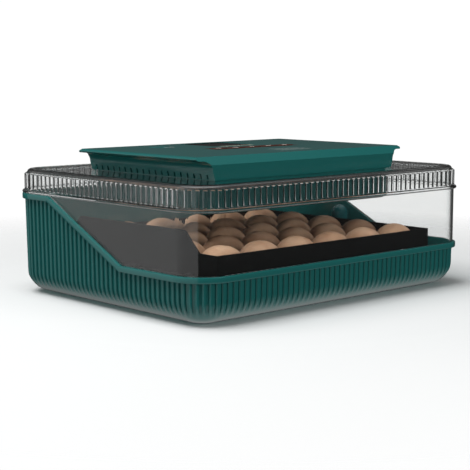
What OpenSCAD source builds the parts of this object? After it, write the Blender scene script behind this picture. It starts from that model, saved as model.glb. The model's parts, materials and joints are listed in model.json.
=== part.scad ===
// Tabletop egg incubator: fluted tub with a sloped rim, clear lift-off lid,
// control unit set into the lid, and a roller tray that turns five rows of eggs.

/* [Case] */
// Length of the case, without the lip and bead round it
case_length = 450; // [430:5:480]
// Depth of the case, without the lip and bead round it
case_depth = 347; // [335:1:360]
// Radius of the case's upright corners
corner_radius = 40; // [34:1:46]
// Height of the rim along the front
low_rim = 55; // [50:1:60]
// Height of the rim along the back
high_rim = 122; // [118:1:123]
// Height of the ridge round the clear lid's top
lid_top = 151; // [150:0.5:152]
// Wall thickness of the tub
tub_wall = 2.5; // [2:0.1:3]
// Wall thickness of the clear lid
lid_wall = 3; // [2.5:0.1:3.5]

/* [Control unit] */
// Length of the unit's top, over its two wings
plate_length = 341; // [336:1:343]
// Length of the unit where it stands on the lid
unit_length = 296; // [293:1:297]
// Depth of the unit between its front and back walls
unit_depth = 225; // [222:1:227]
// Height of the unit's top plate
unit_top = 175; // [174:0.5:177]
// Underside of the unit, inside the case
unit_floor = 111; // [110:1:113]

/* [Egg turner] */
// Rows of eggs, front to back
egg_rows = 5; // [5:1:5]
// Eggs in a row
eggs_per_row = 6; // [6:1:6]
// Distance from row to row
row_pitch = 60.3; // [60:0.1:61]
// Distance from egg to egg in a row
egg_pitch = 58.2; // [57.5:0.1:58.5]
// Length of an egg
egg_length = 56.6; // [55:0.2:56.8]
// Diameter of an egg
egg_diameter = 45; // [44:0.2:45.4]
// Height of the eggs' middle
egg_height = 56.5; // [56:0.5:58]
// Height of the tray's walls
tray_top = 72.5; // [70:0.5:74]

/* [Hidden] */
ROLLERS = [for (i = [1 : 2 * egg_rows]) str("roller_", i)];
EGGS = [for (i = [1 : egg_rows]) str("egg_row_", i)];
BUTTONS = [for (i = [1 : 5]) str("button_", i)];
$fn = 64;
eps = 0.01;
far = 600;

half_x = case_length / 2;
half_y = case_depth / 2;

// Tub: the wall leans in a little towards a well-rounded bottom edge
tub_floor = 1.5;
bottom_radius = 27;
wall_foot_inset = 3.8;
wall_top_inset = 2;
lip_reach = 2;
lip_height = 6.5;
slope_front = -42;
slope_back = 95;
slope_angle = atan((high_rim - low_rim) / (slope_back - slope_front));
floor_half_x = half_x - wall_foot_inset - bottom_radius;
floor_half_y = half_y - wall_foot_inset - bottom_radius;
foot_radius = 9;
foot_at = [168, 116];

// Lid
seat_gap = 0.2;
skirt_inset = 1.4;
band_inset = 2.4;
bead_height = 4;
band_top = 146.5;
dome_inset = 4.1;
dome_radius = lid_top - band_top;
sheet = 2.5;
ridge_drop = 2.5;
ridge_crest = 1.5;
plateau_top = lid_top - ridge_drop;
plateau_inset = dome_inset + dome_radius + ridge_crest + ridge_drop;
unit_opening = [144.5, 110.5];

// Control unit
shell = 2.5;
plate_edge = 105.6;
shoulder_height = 166;
wing_thickness = 4.5;
wing_nose = 3.5;
wing_fillet = 12;
end_wall_lean = 2.5;
gasket_height = 0.8;
upper_foot = plateau_top + gasket_height;
lower_half = [143, 109];
lower_top = 152;
lower_chamfer = 4;
vent_count = 19;
vent_pitch = 11.25;
window_centre = [13, 63];
window_half = [35, 33];
button_y = -6;
button_pitch = 28;
button_x = [for (i = [-2 : 2]) 9.5 + i * button_pitch];
button_half = [11, 6];
light_x = [-7, 13, 33];
light_y = 22;
knob_at = [-78, 68];
knob_radius = 13;
board_z = 158;
board_half = [104, 84];
boss_at = [132, 97];
fan_opening = 46;
fan_radius = 40;
fan_z = 120.5;
fan_bracket_z = 146;
fan_post_y = 52;
shaft_radius = 1.5;
heater_radius = 60;
heater_z = 120;
probe_at = [70, 58];
inlet_x = 96;
inlet_z = 158.9;

// Egg turner
roller_radius = 8;
roller_pitch = row_pitch / 2;
egg_radius = egg_diameter / 2;
egg_clearance = 0.3;
roller_z = egg_height
    - sqrt(pow(egg_radius + roller_radius + egg_clearance, 2) - pow(roller_pitch / 2, 2));
tray_half = [177.5, 148.5];
tray_wall = 2.5;
end_board_top = 95.5;
end_board_half = [94.5, 120];
tray_foot = 20;
journal_radius = 2.5;
running_gap = 0.05;
tooth_count = 12;
gear_module = 1.5;
gear_radius = tooth_count * gear_module / 2;
tooth_pitch = PI * gear_module;
tooth_reach = 1.1;
tooth_half = 0.85;
tooth_tip_half = 0.45;
gear_x = 179.3;
gear_width = 3.2;
rack_line = roller_z + gear_radius;
rack_height = 10;
rack_half = 153;
drive_y = 3 * roller_pitch;
pinion_z = rack_line + rack_height + gear_radius;
motor_radius = 12;
port_y = 34;
port_z = 71.5;
port_x = 213;
port_radius = 12;
port_rise = 3;
port_skin = 1.8;
port_hole = 9;
spout_x = 203;
gutter_end = 208;

function roller_y(i) = (i - (2 * egg_rows - 1) / 2) * roller_pitch;
function row_y(i) = (i - (egg_rows - 1) / 2) * row_pitch;
function egg_x(i) = (i - (eggs_per_row - 1) / 2) * egg_pitch;

// ---------------------------------------------------------------- helpers

module round_rect(half, r) {
    square([2 * half[0], 2 * (half[1] - r)], center = true);
    square([2 * (half[0] - r), 2 * half[1]], center = true);
    for (x = [-1, 1], y = [-1, 1]) translate([x * (half[0] - r), y * (half[1] - r)]) circle(r);
}

// A plate with rounded upright corners, from height z0 to z1
module plate(half, r, z0, z1) {
    translate([0, 0, z0]) linear_extrude(z1 - z0) round_rect(half, r);
}

// Carries a wall section once round the case. The section's x is measured
// outwards from the case's outline and its y is the height.
module round_the_case() {
    straight = [half_x - corner_radius, half_y - corner_radius];
    for (x = [0, 1], y = [0, 1]) mirror([x, 0, 0]) mirror([0, y, 0])
        translate([straight[0], straight[1], 0])
            rotate_extrude(angle = 90) translate([corner_radius, 0]) children();
    for (x = [0, 1]) mirror([x, 0, 0]) translate([half_x, straight[1], 0])
        rotate([90, 0, 0]) linear_extrude(2 * straight[1]) children();
    for (y = [0, 1]) mirror([0, y, 0]) translate([-straight[0], half_y, 0])
        rotate([90, 0, 90]) linear_extrude(2 * straight[0]) children();
}

// A prism along the case whose section is drawn as depth against height
module along_x(length = 2 * far) {
    rotate([90, 0, 90]) translate([0, 0, -length / 2]) linear_extrude(length) children();
}

// Everything below the rim line; drop lowers it square to the line
module below_rim(drop = 0) {
    translate([drop * tan(slope_angle / 2), -drop])
        polygon([[-far, -far], [-far, low_rim], [slope_front, low_rim],
                 [slope_back, high_rim], [far, high_rim], [far, -far]]);
}

module above_rim(gap) {
    difference() {
        translate([-far / 2, 0]) square([far, far / 2]);
        below_rim(-gap);
    }
}

// A round bar along X from x0 to x1
module bar_x(r, x0, x1, y, z) {
    translate([x0, y, z]) rotate([0, 90, 0]) cylinder(h = x1 - x0, r = r);
}

// The turning drive is drawn at the right end and stands at the left one
module at_left() {
    mirror([1, 0, 0]) children();
}

// ---------------------------------------------------------------- case

module tub_section() {
    // rounded bottom edge
    translate([-wall_foot_inset - bottom_radius, tub_floor + bottom_radius]) difference() {
        circle(bottom_radius);
        circle(bottom_radius - tub_wall);
        translate([-bottom_radius * 2, -bottom_radius * 2]) square([bottom_radius * 2, bottom_radius * 4]);
        translate([-eps, 0]) square(bottom_radius * 2);
    }
    polygon([[-wall_foot_inset, tub_floor + bottom_radius],
             [-wall_top_inset, high_rim],
             [-wall_top_inset - tub_wall, high_rim],
             [-wall_foot_inset - tub_wall, tub_floor + bottom_radius]]);
}

module base_tub() {
    color("#1f5f5b") difference() {
        union() {
            intersection() {
                round_the_case() tub_section();
                along_x() below_rim();
            }
            intersection() {
                round_the_case() translate([-wall_foot_inset, 0])
                    square([wall_foot_inset + lip_reach, high_rim]);
                along_x() difference() {
                    below_rim();
                    below_rim(lip_height);
                }
            }
            plate([floor_half_x, floor_half_y], corner_radius - wall_foot_inset - bottom_radius,
                  tub_floor, tub_floor + tub_wall);
        }
        bar_x(port_hole, 200, 240, port_y, port_z);
    }
}

module rubber_feet() {
    color("#202020") for (x = [-1, 1], y = [-1, 1])
        translate([x * foot_at[0], y * foot_at[1], 0]) cylinder(h = tub_floor, r = foot_radius);
}

module lid_section() {
    // skirt from below the lowest rim, then the band the ribs stand on
    translate([-skirt_inset - lid_wall, 0]) square([lid_wall, high_rim + seat_gap + eps]);
    translate([-skirt_inset - lid_wall, high_rim]) square([skirt_inset + lid_wall - band_inset, band_top - high_rim]);
    // bead above the tub's high rim
    translate([-skirt_inset - lid_wall, high_rim + seat_gap])
        square([skirt_inset + lid_wall + lip_reach, bead_height]);
    // rounded ridge round the top, from the band up and down to the sunken plateau
    translate([-dome_inset - sheet + 0.1, band_top - sheet]) square([sheet - 0.4, sheet + 0.5]);
    translate([-dome_inset - dome_radius, band_top]) {
        intersection() {
            difference() {
                circle(dome_radius);
                circle(dome_radius - sheet);
            }
            translate([0, -0.5]) square([dome_radius, dome_radius + 0.5]);
        }
        polygon([[0, dome_radius], [-ridge_crest, dome_radius],
                 [-ridge_crest - ridge_drop - 1, dome_radius - ridge_drop - 1],
                 [-ridge_crest - ridge_drop - 1, dome_radius - ridge_drop - sheet - 0.3],
                 [-ridge_crest - ridge_drop + 0.7, dome_radius - ridge_drop - sheet - 0.3],
                 [-ridge_crest + 1, dome_radius - sheet], [0, dome_radius - sheet]]);
    }
}

module lid() {
    color([0.8, 0.85, 0.85, 0.4]) {
        intersection() {
            round_the_case() lid_section();
            along_x() above_rim(seat_gap);
        }
        difference() {
            plate([half_x - plateau_inset + 0.6, half_y - plateau_inset + 0.6], corner_radius - plateau_inset + 0.6,
                  plateau_top - sheet, plateau_top);
            plate(unit_opening, 3, plateau_top - 5, plateau_top + 5);
        }
    }
}

// ---------------------------------------------------------------- control unit

module unit_gasket() {
    color("#181818") difference() {
        plate([unit_length / 2 - 0.5, unit_depth / 2 - 0.5], 2, plateau_top, upper_foot);
        plate(unit_opening, 3, plateau_top - 1, upper_foot + 1);
    }
}

// End view's outline: a wall that leans out a little, then flares into the top's wing
module wing_outline() {
    foot = unit_length / 2;
    knee = foot + end_wall_lean;
    nose = plate_length / 2;
    underside = unit_top - wing_thickness;
    for (s = [0, 1]) mirror([s, 0])
        polygon([[-1, upper_foot], [foot, upper_foot], [knee, underside - wing_fillet],
                 [knee, underside], [nose - 2, underside], [nose, underside + 1.5],
                 [nose, unit_top - 2], [nose - wing_nose, unit_top], [-1, unit_top]]);
    for (s = [0, 1]) mirror([s, 0]) difference() {
        translate([knee - eps, underside - wing_fillet]) square([wing_fillet, wing_fillet + eps]);
        translate([knee + wing_fillet, underside - wing_fillet]) circle(wing_fillet);
    }
}

module unit_upper_housing() {
    inner_top = unit_top - shell;
    color("#2a6b67") difference() {
        intersection() {
            translate([0, far / 2, 0]) rotate([90, 0, 0]) linear_extrude(far) wing_outline();
            along_x() polygon([[-unit_depth / 2, 0], [-unit_depth / 2, shoulder_height],
                [-plate_edge, unit_top], [plate_edge, unit_top],
                [unit_depth / 2, shoulder_height], [unit_depth / 2, 0]]);
        }
        intersection() {
            plate([unit_length / 2 - shell, unit_depth / 2 - shell], 1.5, upper_foot - 1, inner_top);
            along_x() polygon([[-unit_depth / 2 + shell, 0],
                [-unit_depth / 2 + shell, shoulder_height - 1],
                [-plate_edge + 1, inner_top], [plate_edge - 1, inner_top],
                [unit_depth / 2 - shell, shoulder_height - 1], [unit_depth / 2 - shell, 0]]);
        }
        // cooling slots low in both end walls
        for (i = [0 : vent_count - 1])
            translate([-unit_length / 2 - 3, (i - (vent_count - 1) / 2) * vent_pitch - 1, upper_foot - 1])
                cube([unit_length + 6, 2, 6.5]);
        translate([window_centre[0], window_centre[1], 0]) plate(window_half, 3, 160, unit_top + 1);
        for (x = button_x) translate([x, button_y, 0])
            plate([button_half[0] + 0.3, button_half[1] + 0.3], 3.3, 160, unit_top + 1);
        for (x = light_x) translate([x, light_y, 160]) cylinder(h = 20, r = 1.6);
        translate([knob_at[0], knob_at[1], 160]) cylinder(h = 20, r = 4 + running_gap);
        translate([knob_at[0], knob_at[1], unit_top - 1.3]) cylinder(h = 5, r = knob_radius + 0.3);
        translate([inlet_x - 11.2, unit_depth / 2 - 5, inlet_z - 6.2]) cube([22.4, 10, 12.4]);
    }
    // screw bosses under the plate
    color("#2a6b67") for (x = [-1, 1], y = [-1, 1]) translate([x * boss_at[0], y * boss_at[1], 0])
        difference() {
            translate([0, 0, lower_top + 0.5]) cylinder(h = inner_top - lower_top - 0.3, r = 4.5);
            translate([0, 0, lower_top - 1]) cylinder(h = 14, r = 1.75);
        }
}

module unit_lower_housing() {
    floor_top = unit_floor + shell;
    color("#235c59") difference() {
        union() {
            difference() {
                intersection() {
                    plate(lower_half, 3, unit_floor, lower_top);
                    // bevelled bottom edge
                    along_x() polygon([[-lower_half[1], 400], [-lower_half[1], unit_floor + lower_chamfer],
                        [-lower_half[1] + lower_chamfer, unit_floor], [lower_half[1] - lower_chamfer, unit_floor],
                        [lower_half[1], unit_floor + lower_chamfer], [lower_half[1], 400]]);
                    translate([0, far / 2, 0]) rotate([90, 0, 0]) linear_extrude(far)
                        polygon([[-lower_half[0], 400], [-lower_half[0], unit_floor + lower_chamfer],
                            [-lower_half[0] + lower_chamfer, unit_floor], [lower_half[0] - lower_chamfer, unit_floor],
                            [lower_half[0], unit_floor + lower_chamfer], [lower_half[0], 400]]);
                }
                plate([lower_half[0] - shell, lower_half[1] - shell], 2, unit_floor + lower_chamfer, lower_top + 1);
                plate([lower_half[0] - 5, lower_half[1] - 5], 2, floor_top, lower_top);
            }
            for (x = [-1, 1], y = [-1, 1]) translate([x * boss_at[0], y * boss_at[1], unit_floor])
                cylinder(h = lower_top - unit_floor, r = 5);
            for (x = [-1, 1], y = [-1, 1]) translate([x * (board_half[0] - 5), y * (board_half[1] - 5), floor_top - 1])
                cylinder(h = board_z - floor_top + 1, r = 3.5);
            for (y = [-1, 1]) translate([0, y * fan_post_y, floor_top - 1])
                cylinder(h = fan_bracket_z - floor_top + 1, r = 3.5);
        }
        for (y = [-1, 1]) translate([0, y * fan_post_y, fan_bracket_z - 9]) cylinder(h = 10, r = 1.3);
        translate([0, 0, unit_floor - 1]) cylinder(h = 10, r = fan_opening);
        for (x = [-1, 1], y = [-1, 1]) translate([x * boss_at[0], y * boss_at[1], 0]) {
            translate([0, 0, unit_floor - 1]) cylinder(h = 60, r = 2);
            translate([0, 0, unit_floor - 1]) cylinder(h = 4, r = 3.7);
        }
        for (x = [-1, 1], y = [-1, 1])
            translate([x * (board_half[0] - 5), y * (board_half[1] - 5), board_z - 10]) cylinder(h = 20, r = 1.3);
        // air intake slots at both ends of the floor
        for (x = [-1, 1], i = [-3 : 3])
            translate([x * 100 - 15, i * 9 - 1.75, unit_floor - 1]) cube([30, 3.5, 10]);
        translate([probe_at[0], probe_at[1], unit_floor - 1]) cylinder(h = 10, r = 4.1);
    }
}

module housing_screws() {
    color("#b8b8b8") for (x = [-1, 1], y = [-1, 1]) translate([x * boss_at[0], y * boss_at[1], 0]) {
        difference() {
            translate([0, 0, unit_floor + 0.3]) cylinder(h = 2.7, r = 3.4);
            translate([-0.5, -2.5, unit_floor]) cube([1, 5, 1.3]);
            translate([-2.5, -0.5, unit_floor]) cube([5, 1, 1.3]);
        }
        translate([0, 0, unit_floor + 2.9]) cylinder(h = lower_top - unit_floor + 8, r = 1.7);
    }
}

module display_bezel() {
    color("#101414") translate([window_centre[0], window_centre[1], 0]) difference() {
        union() {
            plate([window_half[0] - 0.2, window_half[1] - 0.2], 2.8, unit_top - 4.5, unit_top - 0.4);
            plate([window_half[0] + 3, window_half[1] + 3], 3, unit_top - 4.5, unit_top - shell - 0.1);
        }
        plate([window_half[0] - 2.5, window_half[1] - 2.5], 2, unit_top - 10, unit_top + 1);
        plate([window_half[0] - 1.4, window_half[1] - 1.4], 2, unit_top - 2.7, unit_top + 1);
    }
}

module display_window() {
    color([0.05, 0.07, 0.07, 0.6]) translate([window_centre[0], window_centre[1], 0])
        plate([window_half[0] - 1.5, window_half[1] - 1.5], 2, unit_top - 2.7, unit_top - 1.2);
}

module display_module() {
    color("#2a3a3a") translate([window_centre[0], window_centre[1], 0]) {
        plate([window_half[0] - 3, window_half[1] - 3], 1, board_z + 3.6, unit_top - 5);
        for (x = [-1, 1], y = [-1, 1])
            translate([x * (window_half[0] - 8), y * (window_half[1] - 14), board_z + 1.6]) cylinder(h = 2.5, r = 2);
    }
}

module indicator_lights() {
    color("#c8d8a0") for (x = light_x) translate([x, light_y, 0]) {
        translate([0, 0, board_z + 1.6]) cylinder(h = unit_top - board_z - 1.6 - 0.1, r = 1.5);
        translate([0, 0, board_z + 1.6]) cylinder(h = 3, r = 2.4);
    }
}

module push_button(x) {
    color("#4a2a24") translate([x, button_y, 0]) {
        plate(button_half, 3, unit_top - 4, unit_top + 0.5);
        plate([button_half[0] + 1.5, button_half[1] + 1.5], 3, unit_top - 5, unit_top - shell - 0.1);
        translate([0, 0, board_z + 6]) cylinder(h = unit_top - board_z - 10, r = 2);
    }
}

module control_board() {
    color("#1c5a34") difference() {
        plate(board_half, 3, board_z, board_z + 1.6);
        for (x = [-1, 1], y = [-1, 1])
            translate([x * (board_half[0] - 5), y * (board_half[1] - 5), board_z - 5]) cylinder(h = 10, r = 1.6);
    }
    color("#202020") {
        for (x = button_x) translate([x - 3, button_y - 3, board_z + 1.5]) cube([6, 6, 3]);
        translate([-90, -70, board_z + 1.5]) cube([26, 22, 7]);
        translate([-50, -66, board_z + 1.5]) cube([14, 14, 2]);
        for (i = [0 : 3]) translate([50 + 12 * i, -60, board_z + 1.5]) cylinder(h = 8, r = 4);
    }
}

module board_screws() {
    color("#b8b8b8") for (x = [-1, 1], y = [-1, 1])
        translate([x * (board_half[0] - 5), y * (board_half[1] - 5), 0]) {
            translate([0, 0, board_z + 1.6]) cylinder(h = 1.8, r = 2.8);
            translate([0, 0, board_z - 8]) cylinder(h = 9.7, r = 1.25);
        }
}

module fan_screws() {
    color("#b8b8b8") for (y = [-1, 1]) translate([0, y * fan_post_y, fan_bracket_z]) {
        translate([0, 0, 1.5]) cylinder(h = 1.8, r = 2.8);
        translate([0, 0, -7]) cylinder(h = 8.6, r = 1.25);
    }
}

module fan_motor() {
    color("#8c8c8c") difference() {
        translate([0, 0, fan_bracket_z - 18]) cylinder(h = 18, r = 14);
        translate([0, 0, 100]) cylinder(h = fan_bracket_z - 102, r = shaft_radius + running_gap);
    }
}

module fan_shaft() {
    color("#c0c0c0") translate([0, 0, fan_z - 6]) cylinder(h = 28, r = shaft_radius);
}

module fan_blade() {
    color("#202424") difference() {
        union() {
            translate([0, 0, fan_z - 5.5]) cylinder(h = 11, r = 11);
            for (i = [0 : 4]) rotate([0, 0, 72 * i]) translate([10, 0, fan_z]) rotate([32, 0, 0])
                translate([0, -11, -0.8]) cube([fan_radius - 14, 22, 1.6]);
        }
        translate([0, 0, fan_z - 10]) cylinder(h = 20, r = shaft_radius);
    }
}

module fan_bracket() {
    color("#9a9a98") difference() {
        union() {
            translate([-8, -fan_post_y - 6, fan_bracket_z]) cube([16, 2 * fan_post_y + 12, 1.5]);
            translate([0, 0, fan_bracket_z]) cylinder(h = 1.5, r = 15);
        }
        for (y = [-1, 1]) translate([0, y * fan_post_y, fan_bracket_z - 5]) cylinder(h = 10, r = 1.7);
    }
}

module fan_grille() {
    color("#17403e") translate([0, 0, unit_floor]) linear_extrude(2) {
        for (r = [fan_opening - 0.3, 34, 22]) difference() {
            circle(r);
            circle(r - 1.8);
        }
        circle(9);
        for (i = [0 : 2]) rotate(60 * i) square([2 * fan_opening - 2.4, 1.8], center = true);
    }
}

module heater_ring() {
    color("#b06a3a") translate([0, 0, heater_z]) rotate_extrude() translate([heater_radius, 0]) circle(2.5);
}

module heater_clips() {
    color("#e8e4da") for (i = [0 : 2]) rotate([0, 0, 30 + 120 * i]) translate([heater_radius, 0, 0])
        difference() {
            translate([-4, -3, unit_floor + shell]) cube([9, 6, heater_z - unit_floor - shell + 4.5]);
            translate([-heater_radius, 0, heater_z]) rotate_extrude() translate([heater_radius, 0]) circle(2.6);
        }
}

module sensor_probe() {
    color("#d8d8d0") translate([probe_at[0], probe_at[1], 0]) {
        translate([0, 0, 99]) cylinder(h = 20, r = 4);
        translate([0, 0, unit_floor + shell]) cylinder(h = 1.5, r = 6);
    }
}

module power_inlet() {
    color("#151515") difference() {
        union() {
            translate([inlet_x - 11, unit_depth / 2 - 18, inlet_z - 6]) cube([22, 18.4, 12]);
            translate([inlet_x - 12.5, unit_depth / 2 + 0.1, inlet_z - 6.8]) cube([25, 1.4, 13.6]);
        }
        translate([inlet_x - 4.5, unit_depth / 2 + 3, inlet_z]) rotate([90, 0, 0]) cylinder(h = 15, r = 4.5);
        translate([inlet_x + 4.5, unit_depth / 2 + 3, inlet_z]) rotate([90, 0, 0]) cylinder(h = 15, r = 4.5);
        translate([inlet_x - 4.5, unit_depth / 2 - 12, inlet_z - 4.5]) cube([9, 15, 9]);
        for (x = [-4.3, 4.3]) translate([inlet_x + x, unit_depth / 2 - 2, inlet_z]) rotate([90, 0, 0])
            cylinder(h = 14.1, r = 1.25);
    }
}

module inlet_pins() {
    color("#c9c9c4") for (x = [-4.3, 4.3])
        translate([inlet_x + x, unit_depth / 2 - 2, inlet_z]) rotate([90, 0, 0]) cylinder(h = 14, r = 1.2);
}

module vent_knob() {
    color("#1d4f4c") translate([knob_at[0], knob_at[1], 0]) difference() {
        union() {
            translate([0, 0, unit_top - 1.2]) cylinder(h = 1.5, r = knob_radius);
            translate([0, 0, unit_top - 4.1]) cylinder(h = 3, r = 4);
            translate([0, 0, unit_top - shell - 1.6]) cylinder(h = 1.5, r = 6);
        }
        translate([-9, -1.5, unit_top - 0.4]) cube([18, 3, 2]);
    }
}

// ---------------------------------------------------------------- egg turner

module water_tray() {
    z0 = tub_floor + tub_wall + 0.1;
    color("#26403f") difference() {
        union() {
            plate([152, 124], 8, z0, 17);
            translate([150, port_y - 8, 9]) cube([gutter_end - 150, 16, 8]);
        }
        for (y = [-1, 1]) translate([0, y * 62, 0]) plate([150, 60], 7, z0 + 1.5, 18);
        translate([140, port_y - 6.5, 10.5]) cube([gutter_end - 141.5, 13, 8]);
    }
}

module egg_tray() {
    inner = [tray_half[0] - tray_wall, tray_half[1] - tray_wall];
    color("#1c1c1c") difference() {
        union() {
            difference() {
                plate(tray_half, 1.5, tray_foot, tray_top);
                plate(inner, 1, tray_foot - 1, tray_top + 1);
            }
            // raised board at the left end, in front of the drive
            translate([-tray_half[0], 0, 0]) rotate([90, 0, 90]) linear_extrude(tray_wall)
                polygon([[-end_board_half[1], tray_top - 1], [-end_board_half[0], end_board_top],
                         [end_board_half[0], end_board_top], [end_board_half[1], tray_top - 1]]);
            // bearing pads for the rollers, inside the end walls
            for (x = [-1, 1], i = [0 : 2 * egg_rows - 1])
                bar_x(5, x > 0 ? inner[0] - 1.5 : -inner[0] - 0.5, x > 0 ? inner[0] + 0.5 : -inner[0] + 1.5,
                      roller_y(i), roller_z);
            for (x = [-1, 1], y = [-1, 1])
                translate([x * (tray_half[0] - 6) - 6, y * 137 - 6, tub_floor + tub_wall + 0.1])
                    cube([12, 12, tray_foot - tub_floor - tub_wall + 0.4]);
        }
        at_left() for (y = [-20, 20]) bar_x(1.4, 170, 185, drive_y + y, 61.5);
        for (i = [0 : 2 * egg_rows - 1])
            bar_x(journal_radius + running_gap, -tray_half[0] - 5, tray_half[0] + 5, roller_y(i), roller_z);
    }
}

// Outline of a gear; turn is its angle at rest
module gear_outline(turn) {
    root = gear_radius - tooth_reach - 0.35;
    circle(root);
    for (i = [0 : tooth_count - 1]) rotate(turn + i * 360 / tooth_count)
        polygon([[root - 1, -tooth_half - 0.35], [gear_radius, -tooth_half],
                 [gear_radius + tooth_reach, -tooth_tip_half], [gear_radius + tooth_reach, tooth_tip_half],
                 [gear_radius, tooth_half], [root - 1, tooth_half + 0.35]]);
}

module gear(y, z, turn) {
    translate([gear_x, y, z]) rotate([90, 0, 90]) linear_extrude(gear_width) gear_outline(turn);
}

// Turns a gear so that a gap meets the rack's tooth row, whose teeth stand at
// whole multiples of the tooth pitch; side is 90 for a rack above, -90 below
function mesh_turn(y, side) = side + 180 / tooth_count + (side > 0 ? 1 : -1) * y / gear_radius * 180 / PI;

module roller(i) {
    reach = tray_half[0] - tray_wall - 1.8;
    color("#2b2b2b") at_left() {
        bar_x(roller_radius, -reach, reach, roller_y(i), roller_z);
        bar_x(journal_radius, -tray_half[0] - 0.5, gear_x + 0.1, roller_y(i), roller_z);
        gear(roller_y(i), roller_z, mesh_turn(roller_y(i), 90));
    }
}

module rack_teeth(y0, y1, side) {
    for (i = [ceil(y0 / tooth_pitch) : floor(y1 / tooth_pitch)])
        translate([i * tooth_pitch, 0])
            polygon([[-tooth_half - 0.5, -side * (tooth_reach + 0.5)], [-tooth_half, 0],
                     [-tooth_tip_half, side * tooth_reach], [tooth_tip_half, side * tooth_reach],
                     [tooth_half, 0], [tooth_half + 0.5, -side * (tooth_reach + 0.5)]]);
}

module drive_rack() {
    low = rack_line + tooth_reach + 0.4;
    high = rack_line + rack_height - tooth_reach - 0.4;
    color("#e4e2da") at_left() {
        translate([gear_x, 0, 0]) rotate([90, 0, 90]) linear_extrude(gear_width) {
            translate([-rack_half, low]) square([2 * rack_half, high - low]);
            translate([0, rack_line]) rack_teeth(-rack_half + 3, rack_half - 3, -1);
            translate([0, rack_line + rack_height]) rack_teeth(drive_y - 24, drive_y + 24, 1);
        }
        translate([gear_x + gear_width - 0.1, -rack_half, low + 0.2]) cube([2.1, 2 * rack_half, high - low - 0.4]);
    }
}

module rack_guides() {
    low = rack_line + tooth_reach + 0.4;
    high = rack_line + rack_height - tooth_reach - 0.4;
    outer = gear_x + gear_width + 2;
    color("#1c1c1c") at_left() for (y = [-105, -15, 45]) translate([0, y - 4, 0]) difference() {
        translate([tray_half[0], 0, low - 2]) cube([outer + 2.2 - tray_half[0], 8, high - low + 4]);
        translate([tray_half[0] - 1, -1, low - 3]) cube([gear_x + gear_width + 0.3 - tray_half[0] + 1, 10, 3.3]);
        translate([gear_x - 0.3, -1, low - 0.1]) cube([outer - gear_x + 0.6, 10, high - low + 0.4]);
    }
}

module turn_motor() {
    color("#9c9c9c") at_left() difference() {
        bar_x(motor_radius, 190, 212, drive_y, pinion_z);
        bar_x(1.5 + running_gap, 185, 200, drive_y, pinion_z);
    }
}

module motor_pinion() {
    color("#e4e2da") at_left() {
        gear(drive_y, pinion_z, mesh_turn(drive_y, -90));
        bar_x(1.5, gear_x + gear_width - 0.1, 198, drive_y, pinion_z);
    }
}

module motor_bracket() {
    color("#1c1c1c") at_left() difference() {
        union() {
            translate([187.5, drive_y - 16, 53]) cube([2.5, 32, 17]);
            for (y = [-16, 13]) translate([tray_half[0], drive_y + y, 53]) cube([12, 3, 17]);
            for (y = [-24, 13]) translate([tray_half[0], drive_y + y, 53]) cube([2.5, 11, 17]);
        }
        bar_x(4, 180, 195, drive_y, pinion_z);
        for (y = [-20, 20]) bar_x(1.6, 170, 185, drive_y + y, 61.5);
    }
}

module bracket_screws() {
    color("#b8b8b8") at_left() for (y = [-20, 20]) {
        bar_x(2.8, tray_half[0] + 2.5, tray_half[0] + 4.3, drive_y + y, 61.5);
        bar_x(1.3, tray_half[0] - 2, tray_half[0] + 2.6, drive_y + y, 61.5);
    }
}

// The port's bulb: taller than wide, with rounded ends
module bulb(r) {
    translate([port_x, port_y, port_z]) {
        for (z = [-port_rise, port_rise]) translate([0, 0, z]) sphere(r);
        translate([0, 0, -port_rise]) cylinder(h = 2 * port_rise, r = r);
    }
}

module filler_port() {
    color("#2b7a76") difference() {
        union() {
            intersection() {
                bulb(port_radius);
                translate([180, 0, 0]) cube([219.2 - 180, 100, 100]);
            }
            bar_x(port_hole - 0.2, port_x, 222.2, port_y, port_z);
            translate([spout_x, port_y, 24]) cylinder(h = 40, r = 3.5);
        }
        difference() {
            bulb(port_radius - port_skin);
            translate([217.4, 0, 0]) cube([40, 100, 100]);
        }
        bar_x(6.7, port_x, 240, port_y, port_z);
        translate([spout_x, port_y, 20]) cylinder(h = 45, r = 2.3);
    }
}

module port_plug() {
    color("#303434") {
        bar_x(6.7 - 0.08, 218, 222.4, port_y, port_z);
        bar_x(10, 222.3, 225, port_y, port_z);
    }
}

function egg_outline(steps) = [for (i = [0 : steps])
    let (a = 180 * i / steps, x = cos(a))
    [egg_radius * sin(a) * (1 - 0.09 * x) * 0.996, egg_length / 2 * x]];

module egg_row(i) {
    color("#c89878") for (k = [0 : eggs_per_row - 1])
        translate([egg_x(k), row_y(i), egg_height]) rotate([0, 90, 0])
            rotate_extrude($fn = 48) polygon(egg_outline(20));
}

base_tub();
rubber_feet();
water_tray();
egg_tray();
drive_rack();
rack_guides();
turn_motor();
motor_pinion();
motor_bracket();
bracket_screws();
filler_port();
port_plug();
lid();
unit_gasket();
unit_upper_housing();
unit_lower_housing();
housing_screws();
display_bezel();
display_window();
display_module();
indicator_lights();
control_board();
board_screws();
fan_screws();
fan_motor();
fan_shaft();
fan_blade();
fan_bracket();
fan_grille();
heater_ring();
heater_clips();
sensor_probe();
power_inlet();
inlet_pins();
vent_knob();
for (i = [0 : 4]) push_button(button_x[i]);
for (i = [0 : 2 * egg_rows - 1]) roller(i);
for (i = [0 : egg_rows - 1]) egg_row(i);
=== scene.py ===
import json
import math

import bpy
from mathutils import Matrix, Vector

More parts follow.
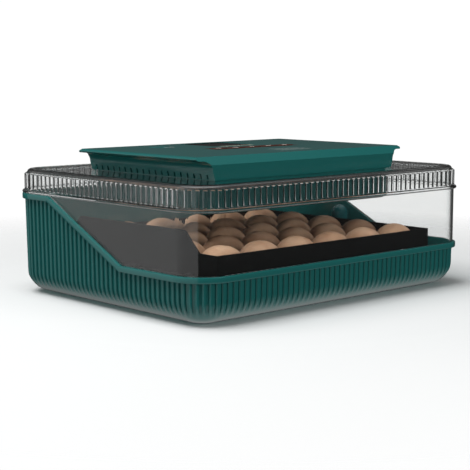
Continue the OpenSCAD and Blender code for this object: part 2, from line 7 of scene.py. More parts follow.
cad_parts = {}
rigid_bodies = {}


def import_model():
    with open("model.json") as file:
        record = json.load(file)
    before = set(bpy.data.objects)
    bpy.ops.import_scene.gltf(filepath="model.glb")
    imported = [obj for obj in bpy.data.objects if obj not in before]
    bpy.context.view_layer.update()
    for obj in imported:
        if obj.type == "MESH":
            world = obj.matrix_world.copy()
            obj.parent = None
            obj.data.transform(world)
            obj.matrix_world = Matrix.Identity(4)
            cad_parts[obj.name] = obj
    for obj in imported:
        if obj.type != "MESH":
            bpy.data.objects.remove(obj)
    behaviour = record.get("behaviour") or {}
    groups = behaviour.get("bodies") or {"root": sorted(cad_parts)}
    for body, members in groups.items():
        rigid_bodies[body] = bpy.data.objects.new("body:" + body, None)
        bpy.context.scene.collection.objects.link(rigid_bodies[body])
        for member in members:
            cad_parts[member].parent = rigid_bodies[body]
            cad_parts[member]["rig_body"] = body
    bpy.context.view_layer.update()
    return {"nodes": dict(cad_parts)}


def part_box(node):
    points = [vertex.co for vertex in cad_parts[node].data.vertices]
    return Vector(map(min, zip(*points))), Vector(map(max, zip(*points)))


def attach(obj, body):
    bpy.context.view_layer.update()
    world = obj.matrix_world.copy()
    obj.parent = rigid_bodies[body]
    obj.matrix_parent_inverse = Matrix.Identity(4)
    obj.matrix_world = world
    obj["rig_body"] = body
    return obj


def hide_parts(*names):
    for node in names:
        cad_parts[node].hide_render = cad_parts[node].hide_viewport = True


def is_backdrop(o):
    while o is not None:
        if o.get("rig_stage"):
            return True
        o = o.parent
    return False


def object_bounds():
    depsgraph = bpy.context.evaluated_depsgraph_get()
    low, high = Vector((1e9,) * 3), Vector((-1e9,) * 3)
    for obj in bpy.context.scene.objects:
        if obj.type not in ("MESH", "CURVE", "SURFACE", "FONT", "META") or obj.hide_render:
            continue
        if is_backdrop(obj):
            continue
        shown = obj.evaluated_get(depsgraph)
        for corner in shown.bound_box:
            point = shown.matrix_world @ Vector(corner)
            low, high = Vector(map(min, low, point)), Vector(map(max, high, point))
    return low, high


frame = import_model()
nodes = frame["nodes"]
mm = 0.001

# ---------------------------------------------------------------- camera and studio
# A product view from the front left, a little above the lid.
target = Vector((-14, 0, 66.5)) * mm
distance = 1531 * mm
azimuth = math.radians(42.8)
elevation = math.radians(7.5)
away = Vector((-math.sin(azimuth) * math.cos(elevation),
               -math.cos(azimuth) * math.cos(elevation),
               math.sin(elevation)))
bpy.ops.object.camera_add(location=target + away * distance)
camera = bpy.context.object
camera.rotation_euler = (-away).to_track_quat("-Z", "Y").to_euler()
camera.data.lens = 94.75
camera.data.clip_start = 0.02
bpy.context.scene.camera = camera
bpy.context.scene.view_settings.view_transform = "Standard"


def softbox(name, place, width, height, power):
    """A lamp panel turned to the case; it lights, but isn't mirrored or seen through the lid."""
    bpy.ops.object.light_add(type="AREA", location=place)
    lamp = bpy.context.object
    lamp.name = name
    lamp.data.shape = "RECTANGLE"
    lamp.data.size = width
    lamp.data.size_y = height
    lamp.data.energy = power
    aim = Vector((0, 0, 0.1)) - Vector(place)
    lamp.rotation_euler = aim.to_track_quat("-Z", "Y").to_euler()
    lamp.visible_glossy = False
    lamp.visible_transmission = False


softbox("overhead", (-0.65, 0.1, 1.6), 1.3, 1.3, 40)
softbox("left_fill", (-1.8, 0.3, 0.35), 0.8, 0.6, 5)
softbox("front_fill", (0.2, -1.7, 0.4), 0.8, 0.6, 15)


def value(tree, operation, *inputs, clamp=False):
    """A maths step; each input is a number or another step's output."""
    step = tree.nodes.new("ShaderNodeMath")
    step.operation = operation
    step.use_clamp = clamp
    for socket, given in zip(step.inputs, inputs):
        if isinstance(given, (int, float)):
            socket.default_value = given
        else:
            tree.links.new(given, socket)
    return step.outputs[0]


def remap(tree, source, low, high, to_low=0.0, to_high=1.0):
    """Takes low to to_low and high to to_high, and holds the ends."""
    step = tree.nodes.new("ShaderNodeMapRange")
    tree.links.new(source, step.inputs["Value"])
    for label, number in (("From Min", low), ("From Max", high),
                          ("To Min", to_low), ("To Max", to_high)):
        step.inputs[label].default_value = number
    return step.outputs[0]


# White seen straight, or through the lid towards the backdrop. In reflections a bright
# wall stands on the left with a sharp edge at the rear, the ground and the ceiling are
# bright and the rest is dark.
wall_side, wall_half_width, wall_edge = 166.5, 49, 1
backdrop_side = 110
world = bpy.data.worlds.new("studio")
bpy.context.scene.world = world
world.use_nodes = True
tree = world.node_tree
tree.nodes.clear()
direction = tree.nodes.new("ShaderNodeTexCoord")
split = tree.nodes.new("ShaderNodeSeparateXYZ")
level = tree.nodes.new("ShaderNodeVectorMath")
level.operation = "MULTIPLY"
level.inputs[1].default_value = (1, 1, 0)
heading = tree.nodes.new("ShaderNodeVectorMath")
heading.operation = "NORMALIZE"
tree.links.new(direction.outputs["Generated"], split.inputs[0])
tree.links.new(direction.outputs["Generated"], level.inputs[0])
tree.links.new(level.outputs[0], heading.inputs[0])


def towards(side):
    """Cosine of the angle between the ray's level heading and a side, in degrees from +X."""
    side = math.radians(side)
    facing = tree.nodes.new("ShaderNodeVectorMath")
    facing.operation = "DOT_PRODUCT"
    facing.inputs[1].default_value = (math.cos(side), math.sin(side), 0)
    tree.links.new(heading.outputs[0], facing.inputs[0])
    return facing.outputs["Value"]


wall_light = remap(tree, towards(wall_side), math.cos(math.radians(wall_half_width)),
                   math.cos(math.radians(wall_half_width - wall_edge)), 0.05, 0.58)
ground_light = remap(tree, split.outputs["Z"], -0.3, -0.8)
ceiling_light = remap(tree, split.outputs["Z"], 0.6, 0.85, 0.0, 0.45)
backdrop = remap(tree, towards(backdrop_side), -0.17, 0.04, 0.2)
framed = value(tree, "MULTIPLY", backdrop, remap(tree, split.outputs["Z"], 0.35, 0.15))
rays = tree.nodes.new("ShaderNodeLightPath")
through = value(tree, "MULTIPLY", rays.outputs["Is Transmission Ray"], framed)
unreflected = value(tree, "SUBTRACT", 1, rays.outputs["Glossy Depth"], clamp=True)
straight = value(tree, "MAXIMUM", rays.outputs["Is Camera Ray"],
                 value(tree, "MULTIPLY", through, unreflected))
room = tree.nodes.new("ShaderNodeBackground")
tree.links.new(value(tree, "MAXIMUM", value(tree, "MAXIMUM", wall_light, ground_light),
                     ceiling_light), room.inputs["Color"])
seen_white = tree.nodes.new("ShaderNodeBackground")
seen_white.inputs["Color"].default_value = (1, 1, 1, 1)
seen_white.inputs["Strength"].default_value = 1.02
pick = tree.nodes.new("ShaderNodeMixShader")
world_out = tree.nodes.new("ShaderNodeOutputWorld")
tree.links.new(straight, pick.inputs[0])
tree.links.new(room.outputs[0], pick.inputs[1])
tree.links.new(seen_white.outputs[0], pick.inputs[2])
tree.links.new(pick.outputs[0], world_out.inputs["Surface"])

# White floor that fades into the white room well away from the case, and isn't mirrored
bpy.ops.object.select_all(action="DESELECT")
bpy.ops.mesh.primitive_plane_add(size=12, location=(0, 0, 0))
floor = bpy.context.object
floor.name = "floor"
floor.visible_diffuse = False
floor_paint = bpy.data.materials.new("floor_paint")
floor_paint.use_nodes = True
tree = floor_paint.node_tree
paint = tree.nodes["Principled BSDF"]
paint.inputs["Base Color"].default_value = (0.59, 0.60, 0.60, 1)
paint.inputs["Roughness"].default_value = 0.8
paint.inputs["Specular IOR Level"].default_value = 0.0
spot = tree.nodes.new("ShaderNodeTexCoord")
reach = tree.nodes.new("ShaderNodeVectorMath")
reach.operation = "LENGTH"
tree.links.new(spot.outputs["Object"], reach.inputs[0])
rays = tree.nodes.new("ShaderNodeLightPath")
hidden = value(tree, "MAXIMUM", remap(tree, reach.outputs["Value"], 0.35, 0.9),
               rays.outputs["Glossy Depth"], clamp=True)
nothing = tree.nodes.new("ShaderNodeBsdfTransparent")
blend = tree.nodes.new("ShaderNodeMixShader")
tree.links.new(hidden, blend.inputs[0])
tree.links.new(paint.outputs[0], blend.inputs[1])
tree.links.new(nothing.outputs[0], blend.inputs[2])
tree.links.new(blend.outputs[0], tree.nodes["Material Output"].inputs["Surface"])
floor.data.materials.append(floor_paint)
floor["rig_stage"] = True

# ---------------------------------------------------------------- moulded plastic grain
# Every moulded skin has a faint bloom and tiny waviness: one group gives the
# mottled tone, the roughness mask and the height, each material its own amounts.
grain = bpy.data.node_groups.new("moulded_grain", "ShaderNodeTree")
for way, sockets in (("INPUT", (("Scale", "Float"), ("Colour", "Color"), ("Shade", "Float"),
                                ("Gloss", "Float"), ("Gloss Spread", "Float"))),
                     ("OUTPUT", (("Colour", "Color"), ("Roughness", "Float"),
                                 ("Height", "Float")))):
    for label, kind in sockets:
        grain.interface.new_socket(label, in_out=way, socket_type="NodeSocket" + kind)
given = grain.nodes.new("NodeGroupInput")
made = grain.nodes.new("NodeGroupOutput")
spot = grain.nodes.new("ShaderNodeTexCoord")
fine = grain.nodes.new("ShaderNodeTexNoise")
fine.inputs["Detail"].default_value = 6
broad = grain.nodes.new("ShaderNodeTexNoise")
broad.inputs["Scale"].default_value = 9
broad.inputs["Detail"].default_value = 3
darker = grain.nodes.new("ShaderNodeMix")
darker.data_type = "RGBA"
darker.blend_type = "MULTIPLY"
grey = grain.nodes.new("ShaderNodeCombineColor")
grain.links.new(spot.outputs["Object"], fine.inputs["Vector"])
grain.links.new(spot.outputs["Object"], broad.inputs["Vector"])
grain.links.new(given.outputs["Scale"], fine.inputs["Scale"])
tone = remap(grain, broad.outputs[0], 0.0, 1.0, 0.5)
for channel in ("Red", "Green", "Blue"):
    grain.links.new(tone, grey.inputs[channel])
grain.links.new(given.outputs["Shade"], darker.inputs["Factor"])
grain.links.new(given.outputs["Colour"], darker.inputs["A"])
grain.links.new(grey.outputs[0], darker.inputs["B"])
grain.links.new(darker.outputs["Result"], made.inputs["Colour"])
grain.links.new(value(grain, "MULTIPLY_ADD", broad.outputs[0], given.outputs["Gloss Spread"],
                      given.outputs["Gloss"]), made.inputs["Roughness"])
grain.links.new(fine.outputs[0], made.inputs["Height"])


def moulded(name, colour, gloss, spread=0.12, shade=0.25, scale=900, bump=0.05, **fixed):
    """A moulded plastic, rubber or painted skin; fixed holds the shader's own constant sockets."""
    material = bpy.data.materials.new(name)
    material.use_nodes = True
    tree = material.node_tree
    skin = tree.nodes["Principled BSDF"]
    group = tree.nodes.new("ShaderNodeGroup")
    group.node_tree = grain
    group.inputs["Scale"].default_value = scale
    group.inputs["Colour"].default_value = (*colour, 1)
    group.inputs["Shade"].default_value = shade
    group.inputs["Gloss"].default_value = gloss
    group.inputs["Gloss Spread"].default_value = spread
    dent = tree.nodes.new("ShaderNodeBump")
    dent.inputs["Strength"].default_value = bump
    dent.inputs["Distance"].default_value = 0.0002
    tree.links.new(group.outputs["Colour"], skin.inputs["Base Color"])
    tree.links.new(group.outputs["Roughness"], skin.inputs["Roughness"])
    tree.links.new(group.outputs["Height"], dent.inputs["Height"])
    tree.links.new(dent.outputs[0], skin.inputs["Normal"])
    for socket, value in fixed.items():
        skin.inputs[socket.replace("_", " ")].default_value = value
    return material


# ---------------------------------------------------------------- tub
# Injection-moulded teal tub. Reeds run down the wall and die out in the plain
# rounded bottom edge; a flat lip caps the wall and climbs from front to back.
teal = moulded("teal_plastic", (0.010, 0.100, 0.094), 0.07, spread=0.08, shade=0.10,
               bump=0.03)
case_x, case_y, case_radius = 225 * mm, 173.5 * mm, 40 * mm
low_rim, high_rim = 55 * mm, 122 * mm
slope_front, slope_back = -42 * mm, 95 * mm
slope_angle = math.atan2(high_rim - low_rim, slope_back - slope_front)
reed_cuts = 8


def rim_height(y, drop=0.0):
    """Height of the rim line at depth y, or of the line that runs drop below and square to it."""
    y -= drop * math.tan(slope_angle / 2)
    along = min(1.0, max(0.0, (y - slope_front) / (slope_back - slope_front)))
    return low_rim + (high_rim - low_rim) * along - drop


def stations(count, width):
    """Round the case, count reeds of which each fills a share of its pitch: for every
    point, (skeleton point, outward direction, height of the reed from 0 to 1)."""
    sides = (case_x - case_radius, case_y - case_radius)
    run = [2 * sides[1], math.pi / 2 * case_radius, 2 * sides[0], math.pi / 2 * case_radius] * 2
    corners = [(1, -1), (1, 1), (1, 1), (-1, 1), (-1, 1), (-1, -1), (-1, -1), (1, -1)]
    cut = [(0.0, 0.0)]
    for k in range(reed_cuts + 1):
        a = math.pi * (k / reed_cuts - 0.5)
        cut.append((0.5 + width / 2 * math.sin(a), math.cos(a)))
    result = []
    for i in range(count):
        for phase, height in cut:
            left = sum(run) * (i + phase) / count  # run still to go
            leg = 0
            while left > run[leg]:
                left -= run[leg]
                leg += 1
            t = left / run[leg]
            sx, sy = corners[leg]
            anchor = Vector((sx * sides[0], sy * sides[1], 0))
            turn = math.pi / 2 * (leg // 2)
            if leg % 2 == 0:
                ex, ey = corners[(leg + 1) % 8]
                anchor = anchor.lerp(Vector((ex * sides[0], ey * sides[1], 0)), t)
            else:
                turn += math.pi / 2 * t
            result.append((anchor, Vector((math.cos(turn), math.sin(turn), 0)), height))
    return result


def skin(name, loops, closed):
    """A mesh from loops of points, each joined to the next; closed joins the last to the
    first, otherwise both ends are filled with a flat face."""
    count = len(loops[0])
    points = [p for loop in loops for p in loop]
    faces = []
    for a in range(len(loops) if closed else len(loops) - 1):
        b = (a + 1) % len(loops)
        for i in range(count):
            j = (i + 1) % count
            faces.append((a * count + i, a * count + j, b * count + j, b * count + i))
    if not closed:
        faces.append(tuple(reversed(range(count))))
        faces.append(tuple(range((len(loops) - 1) * count, len(loops) * count)))
    mesh = bpy.data.meshes.new(name)
    mesh.from_pydata([tuple(p) for p in points], [], faces)
    mesh.validate()
    piece = bpy.data.objects.new(name, mesh)
    bpy.context.scene.collection.objects.link(piece)
    select(piece)
    bpy.ops.object.mode_set(mode="EDIT")
    bpy.ops.mesh.select_all(action="SELECT")
    bpy.ops.mesh.normals_make_consistent(inside=False)
    bpy.ops.object.mode_set(mode="OBJECT")
    return piece


def select(piece):
    bpy.ops.object.select_all(action="DESELECT")
    piece.select_set(True)
    bpy.context.view_layer.objects.active = piece


def finish(piece, body, material, *replaced, angle=35):
    """Smooths a piece, gives it its material, and sets it on its body."""
    select(piece)
    bpy.ops.object.shade_smooth_by_angle(angle=math.radians(angle))
    if material is not None:
        piece.data.materials.clear()
        piece.data.materials.append(material)
    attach(piece, body)
    if replaced:
        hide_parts(*replaced)
    return piece


flute_depth, flute_centre = 2.6 * mm, 0.62
flutes_start, flutes_full = 11 * mm, 21 * mm
tub_floor, bottom_radius, wall = 1.5 * mm, 27 * mm, 2.5 * mm
foot_inset, top_inset, lip_reach, lip_height = 3.8 * mm, 2 * mm, 2 * mm, 6.5 * mm
lip_round = 0.8 * mm
around = stations(184, 0.58)


def wall_inset(z):
    lean = (z - tub_floor - bottom_radius) / (high_rim - tub_floor - bottom_radius)
    return foot_inset + (top_inset - foot_inset) * max(0.0, lean)


def place(station, out, z):
    flat = station[0] + station[1] * (case_radius + out)
    return Vector((flat.x, flat.y, z))


def rim_loop(out, drop):
    """A loop along the rim line, or drop below and square to it."""
    return [place(s, out, rim_height(place(s, out, 0).y, drop)) for s in around]


def level_loop(out, z):
    return [place(s, out, z) for s in around]


def reeded(station, depth):
    """How far the fluted wall stands out at a station."""
    return (station[2] - flute_centre) * depth


arc_out, arc_z = -foot_inset - bottom_radius, tub_floor + bottom_radius
loops = [level_loop(arc_out, tub_floor)]
arc_steps = 18
for k in range(1, arc_steps + 1):
    a = math.pi / 2 * k / arc_steps
    out = arc_out + bottom_radius * math.sin(a)
    z = arc_z - bottom_radius * math.cos(a)
    fade = min(1.0, max(0.0, (z - flutes_start) / (flutes_full - flutes_start)))
    fade = fade * fade * (3 - 2 * fade)
    loops.append([place(s, out + reeded(s, flute_depth) * fade, z) for s in around])
for share in (0.3, 0.6, 0.85, 1):
    loop = []
    for s in around:
        top = rim_height(place(s, -top_inset, 0).y, lip_height)
        z = arc_z + (top - arc_z) * share
        loop.append(place(s, -wall_inset(z) + reeded(s, flute_depth), z))
    loops.append(loop)
lip_ease = lip_round * 0.3
for out, drop in ((lip_round, lip_height), (lip_ease, lip_height - lip_ease),
                  (0, lip_height - lip_round), (0, lip_round), (lip_ease, lip_ease),
                  (lip_round, 0)):
    loops.append(rim_loop(lip_reach - out, drop))
for extra, drop in ((0.4 * mm, 0), (0, 0.4 * mm)):
    loops.append([place(s, -wall_inset(rim_height(place(s, 0, 0).y)) - wall + extra,
                        rim_height(place(s, -top_inset - wall, 0).y, drop)) for s in around])
for k in range(arc_steps, 0, -2):
    a = math.pi / 2 * k / arc_steps
    inner = bottom_radius - wall
    loops.append(level_loop(arc_out + inner * math.sin(a), arc_z - inner * math.cos(a)))
loops.append(level_loop(arc_out, tub_floor + wall))
tub = skin("tub", loops, closed=False)
finish(tub, "base", teal, "base_tub", angle=40)

# ---------------------------------------------------------------- lid
# Clear moulded cover: plain wall down to the sloped rim, a bead, a band of
# half-round ribs, a rounded shoulder and a flat top with the unit's opening.
clear = bpy.data.materials.new("clear_plastic")
clear.use_nodes = True
tree = clear.node_tree
pane = tree.nodes["Principled BSDF"]
pane.inputs["Base Color"].default_value = (0.965, 0.975, 0.972, 1)
pane.inputs["Roughness"].default_value = 0.03
pane.inputs["IOR"].default_value = 1.49
pane.inputs["Transmission Weight"].default_value = 1.0
lamp_rays = tree.nodes.new("ShaderNodeLightPath")
let_through = tree.nodes.new("ShaderNodeBsdfTransparent")
let_through.inputs["Color"].default_value = (0.86, 0.88, 0.88, 1)
either = tree.nodes.new("ShaderNodeMixShader")
tree.links.new(lamp_rays.outputs["Is Shadow Ray"], either.inputs[0])
tree.links.new(pane.outputs[0], either.inputs[1])
tree.links.new(let_through.outputs[0], either.inputs[2])
tree.links.new(either.outputs[0], tree.nodes["Material Output"].inputs["Surface"])

lid_wall, sheet = 3 * mm, 2.5 * mm
lid_top, band_top, plateau_top = 151 * mm, 146.5 * mm, 148.5 * mm
bead_low, bead_high, bead_reach = 122.2 * mm, 126.2 * mm, 2 * mm
skirt_inset, band_inset, dome_inset = 1.4 * mm, 2.4 * mm, 4.1 * mm
rib_height, ridge_crest = 1.7 * mm, 1.5 * mm
dome_radius = lid_top - band_top
ridge_drop = lid_top - plateau_top
plateau_inset = dome_inset + dome_radius + ridge_crest + ridge_drop
opening_x, opening_y, opening_radius = 144.5 * mm, 110.5 * mm, 3 * mm
foot_gap, foot_least = 0.2 * mm, 0.05 * mm
around = stations(178, 0.60)


def foot_loop(out, rise):
    """A loop along the wall's foot, just over the tub's sloped rim, or rise above it."""
    loop = []
    for s in around:
        foot = min(rim_height(place(s, out, 0).y) + foot_gap, bead_low - foot_least)
        loop.append(place(s, out, foot + min(rise, (bead_low - foot) * 0.5)))
    return loop


def opening_loop(z):
    """The opening's edge, with one point for each station round the case."""
    to_x = (opening_x - opening_radius) / (case_x - case_radius)
    to_y = (opening_y - opening_radius) / (case_y - case_radius)
    return [Vector((anchor.x * to_x + normal.x * opening_radius,
                    anchor.y * to_y + normal.y * opening_radius, z))
            for anchor, normal, height in around]


edge = 0.3 * mm
loops = [foot_loop(-skirt_inset - edge, 0), foot_loop(-skirt_inset, edge),
         level_loop(-skirt_inset, bead_low)]
bead_steps = 6
bead_half = (bead_high - bead_low) / 2
for k in range(bead_steps + 1):
    a = math.pi * (k / bead_steps - 0.5)
    loops.append(level_loop(bead_reach * math.cos(a),
                            (bead_low + bead_high) / 2 + bead_half * math.sin(a)))
loops.append(level_loop(-band_inset, bead_high))
rib_end, rib_full = 0.5 * mm, 1.3 * mm
for z, share in ((bead_high + rib_end, 0), (bead_high + rib_full, 1),
                 (band_top - rib_full, 1), (band_top - rib_end, 0)):
    loops.append([place(s, -band_inset + s[2] * rib_height * share, z) for s in around])
loops.append(level_loop(-band_inset - edge, band_top))
dome_steps = 6
for k in range(dome_steps + 1):
    a = math.pi / 2 * k / dome_steps
    loops.append(level_loop(-dome_inset - dome_radius * (1 - math.cos(a)),
                            band_top + dome_radius * math.sin(a)))
loops.append(level_loop(-dome_inset - dome_radius - ridge_crest, lid_top))
loops.append(level_loop(-plateau_inset, plateau_top))
loops.append(opening_loop(plateau_top))
loops.append(opening_loop(plateau_top - sheet))
loops.append(level_loop(-plateau_inset - 0.5 * mm, plateau_top - sheet))
loops.append(level_loop(-plateau_inset + 0.5 * mm, plateau_top - sheet))
inner = dome_radius - sheet
loops.append(level_loop(-dome_inset - dome_radius - ridge_crest + 1 * mm, lid_top - sheet))
for k in range(dome_steps, -1, -2):
    a = math.pi / 2 * k / dome_steps
    loops.append(level_loop(-dome_inset - dome_radius + inner * math.cos(a),
                            band_top + inner * math.sin(a)))
# Doubled loops hold the tall faces' normals flat, so that the wall doesn't act as a prism.
for inset, z in ((band_inset, band_top - 1.5 * mm), (band_inset, band_top - 2.2 * mm),
                 (band_inset, bead_low + 3.2 * mm), (band_inset, bead_low + 2.5 * mm),
                 (skirt_inset, bead_low + 1 * mm), (skirt_inset, bead_low + 0.2 * mm)):
    loops.append(level_loop(-inset - lid_wall, z))
loops.append(foot_loop(-skirt_inset - lid_wall, edge))
loops.append(foot_loop(-skirt_inset - lid_wall + edge, 0))
lid = skin("clear_lid", loops, closed=True)
finish(lid, "lid", clear, "lid", angle=40)

# ---------------------------------------------------------------- eggs
# Brown hen eggs lying end to end along each row, blunt end to the left.
shell = bpy.data.materials.new("eggshell")
shell.use_nodes = True
tree = shell.node_tree
chalk = tree.nodes["Principled BSDF"]
chalk.inputs["Subsurface Weight"].default_value = 0.12
chalk.inputs["Subsurface Radius"].default_value = (0.006, 0.003, 0.0015)
chalk.inputs["Specular IOR Level"].default_value = 0.35
spot = tree.nodes.new("ShaderNodeTexCoord")
blush = tree.nodes.new("ShaderNodeTexNoise")
blush.inputs["Scale"].default_value = 34
blush.inputs["Detail"].default_value = 4
tints = tree.nodes.new("ShaderNodeValToRGB")
tints.color_ramp.elements[0].position = 0.30
tints.color_ramp.elements[0].color = (0.42, 0.225, 0.135, 1)
tints.color_ramp.elements[1].position = 0.72
tints.color_ramp.elements[1].color = (0.66, 0.42, 0.28, 1)
pores = tree.nodes.new("ShaderNodeTexVoronoi")
pores.inputs["Scale"].default_value = 1300
freckle = tree.nodes.new("ShaderNodeTexNoise")
freckle.inputs["Scale"].default_value = 420
freckle.inputs["Detail"].default_value = 2
spotted = tree.nodes.new("ShaderNodeMix")
spotted.data_type = "RGBA"
spotted.inputs["B"].default_value = (0.30, 0.14, 0.08, 1)
pit = tree.nodes.new("ShaderNodeBump")
pit.inputs["Strength"].default_value = 0.10
pit.inputs["Distance"].default_value = 0.0003
for wanted in (blush, pores, freckle):
    tree.links.new(spot.outputs["Object"], wanted.inputs["Vector"])
tree.links.new(blush.outputs[0], tints.inputs[0])
tree.links.new(remap(tree, freckle.outputs[0], 0.64, 0.74, 0.0, 0.45), spotted.inputs["Factor"])
tree.links.new(tints.outputs[0], spotted.inputs["A"])
tree.links.new(spotted.outputs["Result"], chalk.inputs["Base Color"])
tree.links.new(remap(tree, blush.outputs[0], 0.0, 1.0, 0.42, 0.62), chalk.inputs["Roughness"])
tree.links.new(pores.outputs["Distance"], pit.inputs["Height"])
tree.links.new(pit.outputs[0], chalk.inputs["Normal"])

egg_pitch, eggs_per_row = 58.2 * mm, 6
blunt, snug = 0.09, 0.994
for row in range(1, 6):
    low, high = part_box(f"egg_row_{row}")
    middle = (low + high) / 2
    radius = (high.z - low.z) / 2
    half_length = (high.x - low.x - (eggs_per_row - 1) * egg_pitch) / 2
    made_eggs = []
    for k in range(eggs_per_row):
        bpy.ops.object.select_all(action="DESELECT")
        bpy.ops.mesh.primitive_uv_sphere_add(segments=48, ring_count=28, radius=1,
                                             rotation=(0, math.pi / 2, 0))
        egg = bpy.context.object
        bpy.ops.object.transform_apply(location=False, rotation=True, scale=False)
        for v in egg.data.vertices:
            girth = radius * (1 - blunt * v.co.x) * snug
            v.co = Vector((v.co.x * half_length, v.co.y * girth, v.co.z * girth))
        egg.data.transform(Matrix.Translation(
            (low.x + half_length + k * egg_pitch, middle.y, middle.z)))
        made_eggs.append(egg)
    bpy.ops.object.select_all(action="DESELECT")
    for egg in made_eggs:
        egg.select_set(True)
    bpy.context.view_layer.objects.active = made_eggs[0]
    bpy.ops.object.join()
    eggs = bpy.context.object
    eggs.name = f"eggs_{row}"
    finish(eggs, f"egg_row_{row}", shell, f"egg_row_{row}", angle=60)

# ---------------------------------------------------------------- control unit shells
# Two teal moulded shells with eased edges, screwed together round the lid's opening and
# sealed to it. The top plate carries plain printed bars and dashes, and a pale strip.
deep_teal = moulded("deep_teal_plastic", (0.008, 0.060, 0.058), 0.38)
steel = moulded("plated_steel", (0.55, 0.55, 0.54), 0.22, shade=0.2, scale=400, bump=0.08,
                Metallic=1.0)
printed_teal = teal.copy()
printed_teal.name = "printed_teal_plastic"
tree = printed_teal.node_tree
spot = tree.nodes.new("ShaderNodeTexCoord")
split = tree.nodes.new("ShaderNodeSeparateXYZ")
tree.links.new(spot.outputs["Object"], split.inputs[0])


def eased(node, width, material, angle=30):
    """A copy of a CAD piece with its sharp edges bevelled, in the piece's place."""
    piece = nodes[node].copy()
    piece.data = nodes[node].data.copy()
    piece.name = node + "_eased"
    piece.parent = None
    for key in list(piece.keys()):
        del piece[key]
    bpy.context.scene.collection.objects.link(piece)
    select(piece)
    bpy.ops.object.mode_set(mode="EDIT")
    bpy.ops.mesh.select_all(action="SELECT")
    bpy.ops.mesh.remove_doubles(threshold=0.00001)
    bpy.ops.mesh.dissolve_limited(angle_limit=math.radians(0.5))
    bpy.ops.object.mode_set(mode="OBJECT")
    bevel = piece.modifiers.new("edges", "BEVEL")
    bevel.width = width
    bevel.segments = 2
    bevel.limit_method = "ANGLE"
    bevel.angle_limit = math.radians(angle)
    bevel.harden_normals = False
    bpy.ops.object.modifier_apply(modifier=bevel.name)
    finish(piece, nodes[node]["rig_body"], material, node, angle=angle)
    flats = piece.modifiers.new("flats", "WEIGHTED_NORMAL")
    flats.keep_sharp = True
    bpy.ops.object.modifier_apply(modifier=flats.name)


def painted(material, *names):
    """Gives CAD pieces a material; their meshes stay as they are."""
    for name in names:
        nodes[name].data.materials.clear()
        nodes[name].data.materials.append(material)


def inside(low, high):
    """1 within the plan rectangle from low to high, in metres, 0 outside it."""
    near = [value(tree, "COMPARE", split.outputs[k], (low[k] + high[k]) / 2,
                  (high[k] - low[k]) / 2) for k in (0, 1)]
    return value(tree, "MULTIPLY", *near)


def stripes(axis, per_metre, gap):
    """1 on stripes across an axis, 0 in the gaps, which take a share of each pitch."""
    phase = value(tree, "FRACT", value(tree, "MULTIPLY", split.outputs[axis], per_metre))
    return value(tree, "GREATER_THAN", phase, gap)


def print_on(tree, mask, colour):
    """Prints a colour over a moulded skin where the mask is 1."""
    skin = tree.nodes["Principled BSDF"]
    under = skin.inputs["Base Color"].links[0].from_socket
    ink = tree.nodes.new("ShaderNodeMix")
    ink.data_type = "RGBA"
    ink.inputs["B"].default_value = (*colour, 1)
    tree.links.new(mask, ink.inputs["Factor"])
    tree.links.new(under, ink.inputs["A"])
    tree.links.new(ink.outputs["Result"], skin.inputs["Base Color"])


top_only = value(tree, "GREATER_THAN", split.outputs["Z"], 0.1745)
band = inside((-0.060, -0.020), (0.079, 0.008))
# A pale strip painted just in front of the window's lower edge.
label = inside((-0.015, 0.0235), (0.041, 0.0305))
dashes = value(tree, "MULTIPLY", inside((-0.010, -0.082), (0.040, -0.050)),
               value(tree, "MULTIPLY", stripes("X", 240, 0.4), stripes("Y", 95, 0.55)))
pointer = inside((-0.082, 0.052), (-0.066, 0.056))
for mask, colour in ((band, (0.045, 0.016, 0.010)), (label, (0.45, 0.50, 0.38)),
                     (dashes, (0.4, 0.44, 0.42)), (pointer, (0.6, 0.62, 0.6))):
    print_on(tree, value(tree, "MULTIPLY", mask, top_only), colour)
eased("unit_upper_housing", 0.9 * mm, printed_teal)
eased("unit_lower_housing", 0.8 * mm, deep_teal)
painted(teal, "unit_gasket")
painted(steel, "housing_screws")

# ---------------------------------------------------------------- trays
# Black moulded egg tray, matt so that it hardly mirrors the lid, standing over a
# dark teal water tray that lies loose on the tub's floor.
tray_black = moulded("tray_black", (0.007, 0.007, 0.007), 0.5, shade=0.2, scale=1600,
                     bump=0.02, Specular_IOR_Level=0.1)
eased("egg_tray", 0.5 * mm, tray_black)
eased("water_tray", 0.6 * mm, deep_teal)

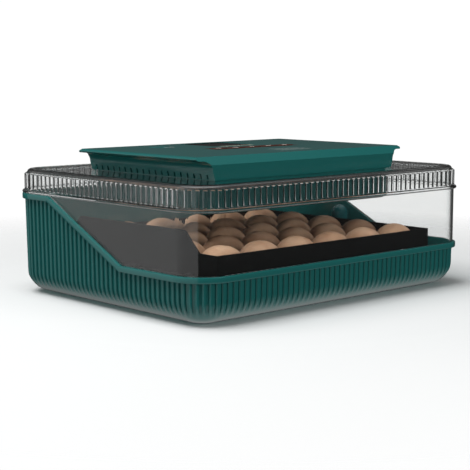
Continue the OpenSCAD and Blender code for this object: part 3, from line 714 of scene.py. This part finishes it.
# ---------------------------------------------------------------- knob, window and keys
# On the top plate: the vent's teal knob, the sunken window in its black frame over the
# display and lights, and five rubber keys that each carry a pale plus as their sign.
black = moulded("black_plastic", (0.010, 0.010, 0.010), 0.36, shade=0.2, scale=1600,
                bump=0.12)
white_plastic = moulded("white_plastic", (0.62, 0.61, 0.57), 0.35)
key_rubber = moulded("key_rubber", (0.060, 0.018, 0.012), 0.45, shade=0.3, scale=700,
                     bump=0.05)
key_pitch, middle_key, sign_y = 0.028, 0.0095, -0.006
tree = key_rubber.node_tree
spot = tree.nodes.new("ShaderNodeTexCoord")
split = tree.nodes.new("ShaderNodeSeparateXYZ")
tree.links.new(spot.outputs["Object"], split.inputs[0])
along = value(tree, "FRACT", value(tree, "MULTIPLY_ADD", split.outputs["X"], 1 / key_pitch,
                                   0.5 - middle_key / key_pitch))


def bar(half_width, half_height):
    """1 on a bar in the middle of every key, the half width as a share of the pitch."""
    return value(tree, "MULTIPLY", value(tree, "COMPARE", along, 0.5, half_width),
                 value(tree, "COMPARE", split.outputs["Y"], sign_y, half_height))


print_on(tree, value(tree, "MAXIMUM", bar(0.14, 0.0011), bar(0.035, 0.004)),
         (0.55, 0.5, 0.45))
eased("vent_knob", 0.3 * mm, teal)
eased("display_bezel", 0.3 * mm, black)
painted(black, "display_window", "display_module")
painted(white_plastic, "indicator_lights")
painted(key_rubber, *(f"button_{i}" for i in range(1, 6)))

# ---------------------------------------------------------------- turning drive
# Ten black rollers under the eggs, turned by a toothed bar between guides. The motor,
# screwed to a bracket at the tub's left end, drives the bar by a pinion.
painted(black, "drive_rack", "rack_guides", "motor_pinion", "motor_bracket",
        *(f"roller_{i}" for i in range(1, 11)))
painted(steel, "turn_motor", "bracket_screws")

# ---------------------------------------------------------------- filler port and feet
# Glossy cup, the colour of sea glass, in the right-hand wall, closed by a rubber plug,
# and four rubber feet under the floor.
sea_glass = moulded("sea_glass", (0.012, 0.085, 0.090), 0.02, spread=0.03, shade=0.1,
                    bump=0.01, Coat_Weight=1.0)
rubber = moulded("black_rubber", (0.018, 0.018, 0.018), 0.62, shade=0.3, scale=700, bump=0.2)
painted(sea_glass, "filler_port")
painted(rubber, "port_plug", "rubber_feet")

# ---------------------------------------------------------------- inside the unit
# Circuit board, fan in its bracket behind a teal grille, ring heater on dark clips,
# probe, and the two-pin power socket at the back.
dark_smoke = moulded("dark_smoke", (0.010, 0.012, 0.012), 0.12, shade=0.1)
painted(deep_teal, "control_board", "sensor_probe")
painted(steel, "board_screws", "fan_screws", "fan_motor", "fan_shaft", "fan_bracket",
        "heater_ring", "inlet_pins")
painted(black, "fan_blade", "power_inlet")
painted(teal, "fan_grille")
painted(dark_smoke, "heater_clips")

low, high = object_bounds()
